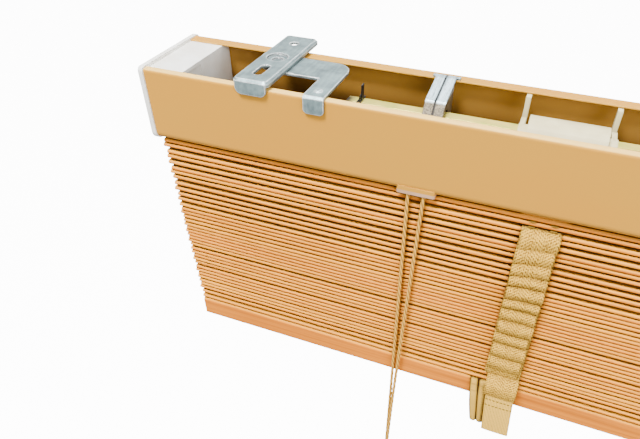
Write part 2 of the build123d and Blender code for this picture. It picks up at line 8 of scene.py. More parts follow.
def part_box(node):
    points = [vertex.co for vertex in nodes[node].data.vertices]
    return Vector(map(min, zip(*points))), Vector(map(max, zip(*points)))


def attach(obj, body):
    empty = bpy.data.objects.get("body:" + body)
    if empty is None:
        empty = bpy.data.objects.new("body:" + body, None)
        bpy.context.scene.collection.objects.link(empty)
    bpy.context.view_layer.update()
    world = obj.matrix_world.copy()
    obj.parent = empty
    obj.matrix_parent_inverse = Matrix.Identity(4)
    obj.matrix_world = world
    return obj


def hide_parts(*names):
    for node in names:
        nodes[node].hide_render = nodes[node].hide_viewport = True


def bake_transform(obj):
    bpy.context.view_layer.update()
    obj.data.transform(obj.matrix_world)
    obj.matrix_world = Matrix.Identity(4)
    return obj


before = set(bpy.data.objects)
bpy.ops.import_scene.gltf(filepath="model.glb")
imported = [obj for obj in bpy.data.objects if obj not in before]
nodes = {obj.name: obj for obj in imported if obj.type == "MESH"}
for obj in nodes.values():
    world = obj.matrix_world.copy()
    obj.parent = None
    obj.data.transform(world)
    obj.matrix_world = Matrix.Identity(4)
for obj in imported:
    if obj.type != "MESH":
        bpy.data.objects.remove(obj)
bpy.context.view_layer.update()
chance = random.Random(7)
print("frame loaded")


# The camera was fitted to the photograph's straight edges.
cameraSettings = {
    "place": (-0.23519, -0.30157, 0.1232),
    "right": (0.9324, 0.3612, 0.0025),
    "down": (0.2336, -0.597, -0.7665),
    "forward": (-0.2756, 0.7163, -0.6418),
    "focalPixels": 573.1,
    "middlePixels": (342.5, 248.5),
    "picture": (640, 439),
}


def makeCamera(s):
    wide, high = s["picture"]
    data = bpy.data.cameras.new("camera")
    data.sensor_width = 36
    data.lens = 36 * s["focalPixels"] / wide
    data.shift_x = (wide / 2 - s["middlePixels"][0]) / wide
    data.shift_y = (s["middlePixels"][1] - high / 2) / wide
    data.clip_start = 0.01
    camera = bpy.data.objects.new("camera", data)
    bpy.context.scene.collection.objects.link(camera)
    columns = Matrix((s["right"], -Vector(s["down"]), -Vector(s["forward"]))).transposed()
    camera.matrix_world = Matrix.Translation(s["place"]) @ columns.to_4x4()
    bpy.context.scene.camera = camera


makeCamera(cameraSettings)


# A socket that can be added, scaled and mixed; each operation makes its node.
class Wire:
    def __init__(self, tree, socket):
        self.tree = tree
        self.socket = socket

    def node(self, kind, settings=None, inputs=None, out=0):
        made = self.tree.nodes.new(kind)
        for name, value in (settings or {}).items():
            setattr(made, name, value)
        for key, value in (inputs or {}).items():
            if isinstance(value, Wire):
                self.tree.links.new(value.socket, made.inputs[key])
            else:
                made.inputs[key].default_value = value
        return Wire(self.tree, made.outputs[out])

    def calc(self, operation, *values):
        return self.node("ShaderNodeMath", {"operation": operation}, dict(enumerate(values)))

    def __add__(self, other):
        return self.calc("ADD", self, other)

    def __radd__(self, other):
        return self.calc("ADD", other, self)

    def __sub__(self, other):
        return self.calc("SUBTRACT", self, other)

    def __rsub__(self, other):
        return self.calc("SUBTRACT", other, self)

    def __mul__(self, other):
        return self.calc("MULTIPLY", self, other)

    def __rmul__(self, other):
        return self.calc("MULTIPLY", other, self)

    def __truediv__(self, other):
        return self.calc("DIVIDE", self, other)

    def __rtruediv__(self, other):
        return self.calc("DIVIDE", other, self)

    def scaled(self, amounts):
        return self.node("ShaderNodeVectorMath", {"operation": "MULTIPLY"}, {0: self, 1: amounts})

    def part(self, index):
        return self.node("ShaderNodeSeparateXYZ", None, {0: self}, index)

    def noise(self, scale, detail=3.0, rough=0.55):
        inputs = {"Vector": self, "Scale": scale, "Detail": detail, "Roughness": rough}
        return self.node("ShaderNodeTexNoise", None, inputs)

    def between(self, low, high):
        inputs = {"Value": self, "From Min": low, "From Max": high}
        return self.node("ShaderNodeMapRange", {"interpolation_type": "SMOOTHSTEP"}, inputs)

    def mix(self, low, high):
        return self.node("ShaderNodeMix", {"data_type": "RGBA"}, {0: self, 6: low, 7: high}, 2)

    def bump(self, strength, distance, normal=None):
        inputs = {"Strength": strength, "Distance": distance, "Height": self}
        if normal:
            inputs["Normal"] = normal
        return self.node("ShaderNodeBump", None, inputs)

    def open(self, distance):
        return self.node("ShaderNodeAmbientOcclusion", {"samples": 5}, {"Distance": distance}, 1)

    def rounded(self, radius):
        return self.node("ShaderNodeBevel", {"samples": 4}, {"Radius": radius})


def makeMaterial(name, fill, coordinates="Object", **constants):
    material = bpy.data.materials.new(name)
    material.use_nodes = True
    tree = material.node_tree
    shader = tree.nodes["Principled BSDF"]
    for key, value in constants.items():
        shader.inputs[key.replace("_", " ")].default_value = value
    texture = tree.nodes.new("ShaderNodeTexCoord")
    for key, value in fill(Wire(tree, texture.outputs[coordinates])).items():
        tree.links.new(value.socket, shader.inputs[key])
    return material


def tone(red, green, blue):
    return (red, green, blue, 1.0)


def makeMesh(name, points, faces, material, uvs=None, smooth=True):
    mesh = bpy.data.meshes.new(name)
    mesh.from_pydata(points, [], faces)
    if uvs:
        layer = mesh.uv_layers.new(name="UVMap")
        for loop in mesh.loops:
            layer.data[loop.index].uv = uvs[loop.vertex_index]
    mesh.polygons.foreach_set("use_smooth", [smooth] * len(mesh.polygons))
    mesh.materials.append(material)
    piece = bpy.data.objects.new(name, mesh)
    bpy.context.scene.collection.objects.link(piece)
    return piece


# Twisted cord: three strands that wind round a smooth line
cordSettings = {
    "diameter": 0.0022,
    "strands": 3,
    "sides": 15,
    "twist": 0.0058,
    "groove": 0.16,
    "fineStep": 0.0007,
    "coarseStep": 0.0018,
    "fineLength": 0.26,
    "pale": tone(0.76, 0.42, 0.065),
    "dark": tone(0.27, 0.11, 0.014),
}


def cordFill(place):
    s = cordSettings
    around = place.part(0)
    along = place.part(1)
    turn = (along / s["twist"] + around * s["strands"]) * (2 * math.pi)
    strand = turn.calc("COSINE", turn) * 0.5 + 0.5
    fibre = place.scaled((30.0, 900.0, 1.0)).noise(1.0, 4.0)
    # Painted shade: the grooves between the strands are darker. The fibre noise is the cord's own colour.
    shade = strand * 0.7 + fibre * 0.5 - 0.1
    return {
        "Base Color": shade.between(0.0, 0.9).mix(s["dark"], s["pale"]),
        "Normal": (strand + fibre * 0.5).bump(0.5, 0.0002),
    }


cordMaterial = makeMaterial("twistedCord", cordFill, "UV", Roughness=0.8, Specular_IOR_Level=0.1)


def splinePoints(route, fine=8):
    curve = bpy.data.curves.new("route", "CURVE")
    curve.dimensions = "3D"
    curve.resolution_u = fine
    spline = curve.splines.new("NURBS")
    spline.points.add(len(route) - 1)
    for point, place in zip(spline.points, route):
        point.co = (*place, 1.0)
    spline.order_u = 3
    spline.use_endpoint_u = True
    holder = bpy.data.objects.new("route", curve)
    bpy.context.scene.collection.objects.link(holder)
    bpy.context.view_layer.update()
    mesh = bpy.data.meshes.new_from_object(holder)
    found = [vertex.co.copy() for vertex in mesh.vertices]
    bpy.data.objects.remove(holder)
    bpy.data.meshes.remove(mesh)
    return found


def evenly(line, s):
    spaced = [line[0]]
    gone = 0.0
    wanted = s["fineStep"]
    for before, after in zip(line, line[1:]):
        length = (after - before).length
        while length > 0 and gone + length >= wanted:
            spaced.append(before.lerp(after, (wanted - gone) / length))
            wanted += s["fineStep"] if wanted < s["fineLength"] else s["coarseStep"]
        gone += length
    spaced.append(line[-1])
    return spaced


def makeRope(name, line, s):
    line = evenly(line, s)
    points = []
    uvs = []
    faces = []
    sides = s["sides"]
    along = 0.0
    across = (line[1] - line[0]).normalized().orthogonal().normalized()
    for number, place in enumerate(line):
        ahead = (line[min(number + 1, len(line) - 1)] - line[max(number - 1, 0)]).normalized()
        across = (across - ahead * across.dot(ahead)).normalized()
        other = ahead.cross(across)
        along += (place - line[number - 1]).length if number else 0.0
        for side in range(sides + 1):
            angle = 2 * math.pi * side / sides
            wave = math.cos(s["strands"] * angle + 2 * math.pi * along / s["twist"])
            radius = s["diameter"] / 2 * (1 - s["groove"] * (0.5 - 0.5 * wave))
            points.append(place + (across * math.cos(angle) + other * math.sin(angle)) * radius)
            uvs.append((side / sides, along))
    ring = sides + 1
    for number in range(len(line) - 1):
        for side in range(sides):
            first = number * ring + side
            faces.append((first, first + 1, first + ring + 1, first + ring))
    faces.append(tuple(range(sides - 1, -1, -1)))
    last = (len(line) - 1) * ring
    faces.append(tuple(range(last, last + sides)))
    return makeMesh(name, points, faces, cordMaterial, uvs)


# Places along the rail: from its left end, its front face and its lip, in millimetres
def railPoint(fromLeft, fromFront, drop):
    return Vector((fromLeft - 450.0, fromFront - 54.0, -4.8 - drop)) / 1000


# The free cords repeat the part's own route, then wind side by side into the hank.
hankSettings = {
    "middle": (157.8, 286.2),
    "back": 2.9,
    "run": 33.2,
    "radius": 6.6,
    "pitch": 2.3,
    "layers": 4,
    "rowPairs": 3,
    "pointsPerTurn": 16,
    "shiftShare": 0.22,
    "tasselTop": 348.6,
}
pullRoutes = {
    "left": (
        (156.2, 1.5, 45.0), (156.25, 1.4, 58.0), (157.1, 0.5, 262.0), (157.0, 0.6, 281.0),
        (157.3, 0.7, 290.0), (170.7, 0.9, 297.0),
    ),
    "right": (
        (164.8, 1.5, 45.0), (164.4, 1.4, 58.0), (159.9, -0.9, 190.0), (158.6, -1.8, 264.0),
        (158.4, -1.7, 281.0), (158.6, -1.5, 290.0), (170.7, -1.2, 297.0),
    ),
}


def hankRoute(strand, s):
    halfRun = s["run"] / 2
    outer = s["radius"] + (s["layers"] - 1) * s["pitch"]
    centreDrop = s["middle"][1] + outer + 1.1 + halfRun
    turns = s["layers"] * s["rowPairs"]
    layers = []
    rows = []
    for pair in range(s["rowPairs"]):
        order = range(s["layers"])
        layers += list(order if pair % 2 else reversed(order))
        rows += [2 * pair + strand] * s["layers"]
    found = []
    for turn in range(turns):
        following = min(turn + 1, turns - 1)
        for step in range(s["pointsPerTurn"]):
            share = step / s["pointsPerTurn"]
            late = max(0.0, (share - 1 + s["shiftShare"]) / s["shiftShare"])
            layer = layers[turn] + (layers[following] - layers[turn]) * late
            row = rows[turn] + (rows[following] - rows[turn]) * late
            radius = s["radius"] + layer * s["pitch"]
            angle = -2 * math.pi * share
            up = math.sin(angle)
            reach = max(-1.0, min(1.0, up * 1.8))
            x = s["middle"][0] + radius * math.cos(angle)
            drop = centreDrop - halfRun * reach - radius * up
            found.append((x, s["back"] - (row + 0.5) * s["pitch"], drop))
    ahead = s["back"] - (2 * s["rowPairs"] + 0.6) * s["pitch"]
    middle = s["back"] - s["rowPairs"] * s["pitch"]
    found.append((s["middle"][0] - 2 + 3 * strand, ahead + 2, centreDrop + 8))
    found.append((s["middle"][0] - 1 + 2 * strand, ahead, centreDrop + halfRun + 6))
    found.append((s["middle"][0], ahead + 1, s["tasselTop"] - 4))
    found.append((s["middle"][0] - 1 + 2 * strand, middle, s["tasselTop"] + 6))
    return found


def makePullCord(side, strand):
    route = [railPoint(*point) for point in pullRoutes[side]]
    route += [railPoint(*point) for point in hankRoute(strand, hankSettings)]
    line = splinePoints(route)
    cord = makeRope(f"pullCord.{side}", line, cordSettings)
    length = sum((after - before).length for before, after in zip(line, line[1:]))
    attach(cord, "headrail")
    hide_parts(f"pull_cord_{side}", "cord_hank")
    return cord, line, length


pullCords = [makePullCord(side, strand) for strand, side in enumerate(("left", "right"))]
print("pull cords", [round(length, 3) for cord, line, length in pullCords])


# A turned wooden tassel and the tie round the hank
tasselSettings = {
    "profile": (
        (0.0, 1.9), (0.4, 2.9), (1.6, 3.2), (3.0, 3.0), (4.2, 3.6), (5.4, 4.4), (6.2, 4.3),
        (7.0, 3.9), (9.5, 5.0), (13.0, 6.0), (17.5, 6.5), (21.5, 6.3), (25.0, 5.5), (28.0, 4.4),
        (29.6, 3.2), (30.0, 2.4),
    ),
    "sides": 40,
    "tieDrop": 316.0,
    "tieWide": 7.0,
    "tieSheet": 0.9,
    "tieSides": 48,
    "tieSquare": 0.35,
}


def makeTassel(material):
    s = tasselSettings
    h = hankSettings
    middle = h["back"] - h["rowPairs"] * h["pitch"]
    points = []
    faces = []
    for down, radius in s["profile"]:
        for side in range(s["sides"]):
            angle = 2 * math.pi * side / s["sides"]
            x = h["middle"][0] + radius * math.cos(angle)
            points.append(railPoint(x, middle + radius * math.sin(angle), h["tasselTop"] + down))
    for ring in range(len(s["profile"]) - 1):
        for side in range(s["sides"]):
            near = ring * s["sides"] + side
            beside = ring * s["sides"] + (side + 1) % s["sides"]
            faces.append((near, near + s["sides"], beside + s["sides"], beside))
    faces.append(tuple(range(s["sides"])))
    last = (len(s["profile"]) - 1) * s["sides"]
    faces.append(tuple(range(last + s["sides"] - 1, last - 1, -1)))
    tassel = makeMesh("tassel", points, faces, material)
    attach(tassel, "headrail")
    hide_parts("cord_tassel")
    return tassel


def makeTie():
    s = tasselSettings
    h = hankSettings
    outer = h["radius"] + (h["layers"] - 1) * h["pitch"] + 1.3
    deep = h["rowPairs"] * h["pitch"] + 0.3
    middle = h["back"] - h["rowPairs"] * h["pitch"]
    corners = []
    for step in range(s["tieSides"]):
        angle = 2 * math.pi * step / s["tieSides"]
        x = math.copysign(abs(math.cos(angle)) ** s["tieSquare"], math.cos(angle))
        y = math.copysign(abs(math.sin(angle)) ** s["tieSquare"], math.sin(angle))
        corners.append((x, y))
    points = []
    faces = []
    for lift, grow in ((0.5, 0.0), (0.38, 1.0), (-0.38, 1.0), (-0.5, 0.0)):
        for x, y in corners:
            ridge = 0.05 * math.sin(x * 9 + lift * 5)
            points.append(
                railPoint(
                    h["middle"][0] + x * (outer + grow * s["tieSheet"]),
                    middle + y * (deep + min(grow * s["tieSheet"], 0.3)) + ridge,
                    s["tieDrop"] - lift * s["tieWide"],
                )
            )
    count = len(corners)
    for ring in range(4):
        for step in range(count):
            after = (step + 1) % count
            here = ring * count
            below = (ring + 1) % 4 * count
            faces.append((here + step, here + after, below + after, below + step))
    uvs = [(index / count, index % count / 400) for index in range(len(points))]
    tie = makeMesh("hankTie", points, faces, cordMaterial, uvs)
    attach(tie, "headrail")
    return tie


# Wood: long grain along X, with its own tint on each slat, a painted highlight on each slat's upper edge,
# painted shade on its lower edge and deep brown painted shade in the gaps
woodSettings = {
    "rose": tone(0.74, 0.205, 0.011),
    "honey": tone(0.84, 0.315, 0.016),
    "mid": tone(0.44, 0.115, 0.005),
    "light": tone(1.0, 0.46, 0.048),
    "under": tone(0.24, 0.046, 0.005),
    "dark": tone(0.20, 0.04, 0.002),
    "gap": tone(0.028, 0.0048, 0.0016),
    "gapReach": 0.0035,
    "edgeRound": 0.0012,
}


def woodFill(place):
    s = woodSettings
    grain = place.scaled((6.0, 150.0, 420.0)).noise(1.0, 5.0, 0.6)
    pores = place.scaled((45.0, 2600.0, 2600.0)).noise(1.0, 2.0)
    cloud = place.scaled((7.0, 20.0, 0.0)).noise(1.0, 2.0)
    tint = place.node("ShaderNodeObjectInfo", out="Random")
    base = tint.mix(s["rose"], s["honey"])
    base = (grain * 0.8 + cloud * 0.5).between(0.85, 0.35).mix(base, s["mid"])
    base = (pores.between(0.58, 0.78) * 0.4).mix(base, s["dark"])
    bent = place.rounded(s["edgeRound"])
    lean = bent.part(2)
    uneven = place.scaled((9.0, 0.0, 300.0)).noise(1.0, 2.0) * 0.36 - 0.14
    underShadeStrength = tint.calc("FRACT", tint * 7.31) * 0.9 + uneven * 1.5 + 0.1
    # Painted highlight on each slat's upper rounded edge, and painted shade on its lower edge, darkest where
    # the edge turns under
    base = (lean.between(0.2, 0.8) * 0.55).mix(base, s["light"])
    base = (lean.between(0.1, -0.5) * underShadeStrength).mix(base, s["under"])
    base = (lean.between(-0.25, -0.7) * underShadeStrength).mix(base, s["gap"])
    # Painted shade: deep brown in the gaps between slats and in other narrow spaces, from ambient occlusion
    deep = 1.0 - (place.open(s["gapReach"]) - uneven).between(0.24, 0.78)
    return {
        "Base Color": deep.mix(base, s["gap"]),
        "Roughness": grain * 0.2 + 0.42,
        "Normal": (grain * 0.6 + pores * 0.4).bump(0.2, 0.0002, bent),
    }


woodMaterial = makeMaterial("varnishedWood", woodFill, Specular_IOR_Level=0.08)

tassel = makeTassel(woodMaterial)
makeTie()
print("hank, tie and tassel")


# How far a face bends away beside an edge: the mask for painted edge highlights
def edgeHighlightMask(place, radius):
    flat = place.node("ShaderNodeNewGeometry", out="Normal")
    bent = place.rounded(radius)
    same = flat.node("ShaderNodeVectorMath", {"operation": "DOT_PRODUCT"}, {0: flat, 1: bent}, "Value")
    return 1.0 - same.between(0.86, 0.995)


# Painted rail: satin tan paint with a faint peel and scuffs, painted shade down in the channel, darker
# towards its floor, and painted highlights on the front lip and the edges
railSettings = {
    "paint": tone(0.50, 0.24, 0.021),
    "warm": tone(0.52, 0.23, 0.016),
    "worn": tone(0.60, 0.32, 0.04),
    "edge": tone(0.95, 0.58, 0.12),
    "inside": tone(0.42, 0.21, 0.032),
    "channelShadeDeep": tone(0.075, 0.033, 0.006),
    "lip": tone(1.0, 0.70, 0.22),
}


def railFill(place):
    s = railSettings
    cloud = place.scaled((5.0, 12.0, 12.0)).noise(1.0, 3.0)
    peel = place.noise(1400.0, 2.0)
    scuff = place.scaled((60.0, 400.0, 400.0)).noise(1.0, 5.0, 0.7)
    base = cloud.between(0.35, 0.7).mix(s["paint"], s["warm"])
    base = (scuff.between(0.68, 0.8) * 0.25).mix(base, s["worn"])
    facing = place.node("ShaderNodeNewGeometry", out="Normal")
    back = place.part(1)
    height = place.part(2)
    outer = facing.part(1).between(0.3, 0.7) * back.between(0.0, 0.001) + facing.part(2).between(-0.3, -0.7)
    # Painted shade on the channel's inner walls, darker further down
    within = back.between(-0.0537, -0.0533) * height.between(-0.0062, -0.0078) * (1.0 - outer)
    channelShade = height.between(-0.009, -0.034).mix(s["inside"], s["channelShadeDeep"])
    base = within.mix(base, channelShade)
    # Painted highlight along the top of the front lip
    upward = facing.part(2).between(0.5, 0.9)
    lipHighlight = upward * back.between(-0.0475, -0.0500) * height.between(-0.012, -0.008)
    base = (lipHighlight * 0.55).mix(base, s["lip"])
    return {
        # Painted highlight along the rounded edges
        "Base Color": (edgeHighlightMask(place, 0.0009) * 0.5).mix(base, s["edge"]),
        "Roughness": scuff * 0.16 + 0.34,
        "Normal": peel.bump(0.05, 0.0002, place.rounded(0.0005)),
    }


railMaterial = makeMaterial("tanPaint", railFill, Specular_IOR_Level=0.16)


# Zinc plate: blue-grey and smooth, with a painted highlight along its edges and painted shade in its creases
zincSettings = {
    "pale": tone(0.30, 0.41, 0.415),
    "dark": tone(0.13, 0.18, 0.19),
    "edgeHighlightTone": tone(0.95, 0.97, 0.97),
    "shine": tone(0.50, 0.62, 0.68),
    "brown": tone(0.035, 0.024, 0.012),
    "tan": tone(0.17, 0.14, 0.09),
    "crease": tone(0.02, 0.018, 0.016),
    "edge": 0.0011,
    "lockBreak": (-0.0092, -0.0076),
    "lockMiddle": -0.2895,
}


def zincFill(place):
    s = zincSettings
    cloud = place.noise(160.0, 4.0, 0.6)
    streak = place.scaled((700.0, 60.0, 300.0)).noise(1.0, 4.0)
    shade = cloud * 0.65 + streak * 0.4
    base = shade.between(0.3, 0.75).mix(s["dark"], s["pale"])
    # Painted highlight along the edges, where the metal is also made less metallic
    edgeHighlight = edgeHighlightMask(place, s["edge"])
    # Painted shade in creases and narrow spaces, from ambient occlusion
    deep = 1.0 - place.open(0.004).between(0.3, 0.8)
    return {
        "Base Color": deep.mix((edgeHighlight * 0.9).mix(base, s["edgeHighlightTone"]), s["crease"]),
        "Metallic": 0.6 - edgeHighlight * 0.4,
        "Roughness": cloud * 0.25 + 0.22,
        "Normal": (cloud * 0.5 + streak * 0.5).bump(0.06, 0.0003, place.rounded(s["edge"])),
    }


# Cord lock: pale zinc on its upper half; its steeper lower half is painted dark brown as painted shade, with
# painted shade in its creases and along its central fold
def lockFill(place):
    s = zincSettings
    speckle = place.noise(1100.0, 5.0, 0.75)
    streak = place.scaled((1600.0, 110.0, 110.0)).noise(1.0, 5.0, 0.65)
    shade = speckle * 0.5 + streak * 0.7
    base = shade.between(0.4, 0.72).mix(s["dark"], s["shine"])
    # Painted shade: the lower half in dark brown mottling
    upper = place.part(2).between(*s["lockBreak"])
    shadedLowerHalf = speckle.between(0.38, 0.62).mix(s["brown"], s["tan"])
    base = upper.mix(shadedLowerHalf, base)
    # Painted shade in creases, from ambient occlusion
    base = (1.0 - place.open(0.003).between(0.3, 0.8)).mix(base, s["crease"])
    # Painted shade along the central fold line
    fromMiddle = place.part(0).calc("ABSOLUTE", place.part(0) - s["lockMiddle"])
    groove = (1.0 - fromMiddle.between(0.0003, 0.0009)) * 0.85
    return {
        "Base Color": groove.mix(base, s["crease"]),
        "Metallic": upper * 0.45 + 0.15,
        "Roughness": speckle * 0.35 + 0.22,
        "Normal": (speckle * 0.6 + streak * 0.4).bump(0.3, 0.0004, place.rounded(0.0006)),
    }


zincMaterial = makeMaterial("zincPlate", zincFill)
lockMaterial = makeMaterial("zincLock", lockFill, Specular_IOR_Level=0.12)


# Yellow zinc rod: pale gold with iridescent patches
rodSettings = {
    "gold": tone(0.84, 0.70, 0.16),
    "green": tone(0.60, 0.60, 0.10),
    "rose": tone(0.80, 0.50, 0.14),
    "tip": tone(0.05, 0.045, 0.035),
    "leftEnd": -0.3385,
}


def rodFill(place):
    s = rodSettings
    patch = place.scaled((60.0, 90.0, 90.0)).noise(1.0, 3.0)
    line = place.scaled((20.0, 1500.0, 1500.0)).noise(1.0, 3.0)
    base = patch.between(0.4, 0.65).mix(s["gold"], s["green"])
    base = (line.between(0.5, 0.75) * 0.6).mix(base, s["rose"])
    fromEnd = place.part(0) - s["leftEnd"]
    burnt = (1.0 - fromEnd.between(0.0005, 0.006)) * patch.between(0.3, 0.5)
    return {
        "Base Color": burnt.mix(base, s["tip"]),
        "Roughness": line * 0.25 + 0.22,
        "Normal": line.bump(0.1, 0.0002, place.rounded(0.0005)),
    }


rodMaterial = makeMaterial("yellowZinc", rodFill, Metallic=0.7)


# Moulded plastics share one recipe with their own tones.
plasticSettings = {
    "white": {"pale": tone(0.88, 0.88, 0.83), "dark": tone(0.76, 0.73, 0.66), "rough": 0.42, "shine": 0.5},
    "cream": {"pale": tone(0.66, 0.59, 0.33), "dark": tone(0.52, 0.45, 0.23), "rough": 0.38, "shine": 0.5},
    "pink": {
        "pale": tone(0.52, 0.31, 0.19), "dark": tone(0.40, 0.23, 0.13), "rough": 0.45, "shine": 0.16,
        "rim": (-0.0478, -0.0474),
    },
    "black": {
        "pale": tone(0.012, 0.012, 0.013), "dark": tone(0.005, 0.005, 0.005), "rough": 0.35, "shine": 0.5,
    },
}


def plasticMaterial(name):
    s = plasticSettings[name]

    def fill(place):
        cloud = place.noise(60.0, 3.0)
        grain = place.noise(2600.0, 2.0)
        base = cloud.between(0.3, 0.7).mix(s["dark"], s["pale"])
        if name == "pink":  # painted with the rail above its rim
            base = place.part(2).between(*s["rim"]).mix(base, railSettings["paint"])
        return {
            "Base Color": base,
            "Roughness": grain * 0.15 + s["rough"],
            "Normal": grain.bump(0.06, 0.0001, place.rounded(0.0006)),
        }

    return makeMaterial(f"{name}Plastic", fill, Specular_IOR_Level=s["shine"])


finishes = {
    "headrail": railMaterial,
    "end_caps": plasticMaterial("white"),
    "bracket_plates": zincMaterial,
    "bracket_lever_left": zincMaterial,
    "bracket_lever_right": zincMaterial,
    "cord_lock_frame": lockMaterial,
    "cord_lock_roller": lockMaterial,
    "tilter_shaft": zincMaterial,
    "tilt_rod": rodMaterial,
    "rod_clip": plasticMaterial("black"),
    "cord_ferrule": plasticMaterial("pink"),
    "bottom_rail": woodMaterial,
}
cream = plasticMaterial("cream")
for name in ("rod_cradles", "tilt_drums", "tilter_case", "rail_buttons"):
    finishes[name] = cream
for number in range(1, 39):
    finishes[f"slat_{number:02d}"] = woodMaterial
for name, material in finishes.items():
    nodes[name].data.materials.clear()
    nodes[name].data.materials.append(material)
print("CAD pieces finished")


# Lift cords: from the ferrule through the lock, along the rail and down through the slats
liftRoutes = (
    (
        (164.8, 1.5, 44.9), (164.8, 1.5, 42.6), (163.3, 10.9, 35.6), (163.3, 10.9, 30.0),
        (175.5, 10.9, 30.0), (201.3, 28.5, 30.0), (227.0, 28.5, 30.0), (227.0, 28.5, 44.0),
        (227.0, 28.5, 120.0), (227.0, 28.5, 188.0),
    ),
    (
        (156.2, 1.5, 44.9), (156.2, 1.5, 42.6), (157.7, 10.9, 35.6), (157.7, 10.9, 25.0),
        (180.0, 10.9, 25.0), (602.5, 10.9, 25.0), (647.3, 28.5, 30.0), (673.0, 28.5, 30.0),
        (673.0, 28.5, 44.0), (673.0, 28.5, 120.0), (673.0, 28.5, 188.0),
    ),
)
liftSettings = dict(cordSettings, fineLength=0.0, fineStep=0.0016, coarseStep=0.0016)
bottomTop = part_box("bottom_rail")[1].z
for number, route in enumerate(liftRoutes):
    line = splinePoints([railPoint(*point) for point in route], 24)
    rope = makeRope(f"liftCord.{number + 1}", line, liftSettings)
    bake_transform(rope)
    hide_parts("lift_cords")
print("lift cords")


# Woven tape: slanted flecks that meet in chevrons, with a plain stitched end
tapeSettings = {
    "width": 0.020,
    "sheet": 0.00034,
    "columns": 12,
    "foldShares": (1.2, 1.0, 0.95, 0.85, 1.0, 0.85, 1.1, 1.25, 1.05, 1.3, 1.3, 1.0, 2.0),
    "droop": 0.120,
    "topGap": 0.0012,
    "layerStep": 0.0003,
    "tuck": (-0.0085, -0.004, -0.0006),
    "tuckDrop": 0.0008,
    "startDrop": 0.0009,
    "inner": 0.0003,
    "behind": 0.0002,
    "turnShare": 0.7,
    "notchGrowth": 1.4,
    "creaseReach": 0.007,
    "reach": 0.0072,
    "reachShares": (0.45, 0.60, 0.68, 0.78, 0.93, 0.96, 0.96, 1.0, 0.92, 1.0, 0.97, 0.46, 1.1),
    "notchShare": 0.50,
    "lipShare": 0.74,
    "turn": 0.0009,
    "clear": 0.0004,
    "tilt": 0.0034,
    "tiltFolds": 7,
    "overRail": 0.004,
    "tail": 0.0262,
    "tailOut": 0.0050,
    "tailWide": 0.018,
    "tailShift": 0.0024,
    "tailLean": 0.08,
    "lastSlip": 0.0020,
    "strands": ((-0.0152, 0.0056, 0.12), (-0.0094, 0.0056, 0.09)),
    "strandCrown": 0.0020,
    "places": (-0.223, 0.223),
    "middleBack": -0.0255,
    "pale": tone(0.78, 0.45, 0.048),
    "mid": tone(0.22, 0.098, 0.012),
    "dark": tone(0.045, 0.016, 0.002),
    "plain": tone(1.0, 0.60, 0.085),
    "chevronWide": 6.25,
    "ribLong": 2.5,
    "stitches": (9.0, 14.5),
}


def tapeFill(place):
    s = tapeSettings
    isTail = place.part(0).calc("GREATER_THAN", place.part(0), 1.5)
    isStrand = place.part(0).calc("GREATER_THAN", place.part(0), 3.5)
    share = place.part(0) - isTail * 2.0 - isStrand * 2.0
    spot = place.node("ShaderNodeTexCoord", out="Object")
    outward = spot.part(1) - s["middleBack"]
    hung = outward.calc("ABSOLUTE", outward) - spot.part(2)
    down = hung * (1.0 - isTail) + place.part(1) * isTail
    weave = place.node("ShaderNodeCombineXYZ", None, {0: share, 1: down})
    across = share * (s["width"] * 1000)
    along = down * 1000.0
    zigzag = across.calc("PINGPONG", across, s["chevronWide"])
    run = (along + zigzag * 1.1) / s["ribLong"]
    rib = run.calc("PINGPONG", run * 2.0, 1.0)
    thread = across.calc("PINGPONG", across / 0.55, 1.0)
    fleck = weave.scaled((24.0, 950.0, 1.0)).noise(1.0, 3.0, 0.7)
    patchy = weave.scaled((5.0, 160.0, 1.0)).noise(1.0, 2.0)
    height = rib * (patchy * 0.6) + thread * 0.2 + fleck * 1.5 - 0.46
    woven = height.between(0.28, 0.7).mix(s["mid"], s["pale"])
    woven = (1.0 - height.between(0.02, 0.4)).mix(woven, s["dark"])
    plainHeight = thread * 0.3 + fleck * 0.5
    plain = plainHeight.between(0.0, 0.6).mix(s["mid"], s["plain"])
    seam = 0.0
    for stitch in s["stitches"]:
        near = along.calc("ABSOLUTE", along - stitch)
        dash = across.calc("PINGPONG", across / 1.3, 1.0)
        seam = (1.0 - near.between(0.25, 0.7)) * dash.between(0.25, 0.5) + seam
    plain = (seam * (1.0 - isStrand) * 0.75).mix(plain, s["dark"])
    # Painted shade on the strands' rounded edges
    fromMiddle = share.calc("ABSOLUTE", share - 0.5)
    plain = (fromMiddle.between(0.26, 0.48) * isStrand * 0.9).mix(plain, s["dark"])
    bumps = height * (1.0 - isTail) + (plainHeight - seam) * isTail
    # Painted shade in the creases under each fold, on the outer faces only
    facing = place.node("ShaderNodeNewGeometry", out="Normal").part(1) * outward.calc("SIGN", outward)
    crease = (1.0 - place.open(s["creaseReach"]).between(0.5, 0.92)) * facing.between(-0.3, 0.1)
    return {
        "Base Color": crease.mix(isTail.mix(woven, plain), s["dark"]),
        "Normal": bumps.bump(0.8, 0.0006),
    }


tapeMaterial = makeMaterial("herringboneTape", tapeFill, "UV", Roughness=0.9, Specular_IOR_Level=0.1)


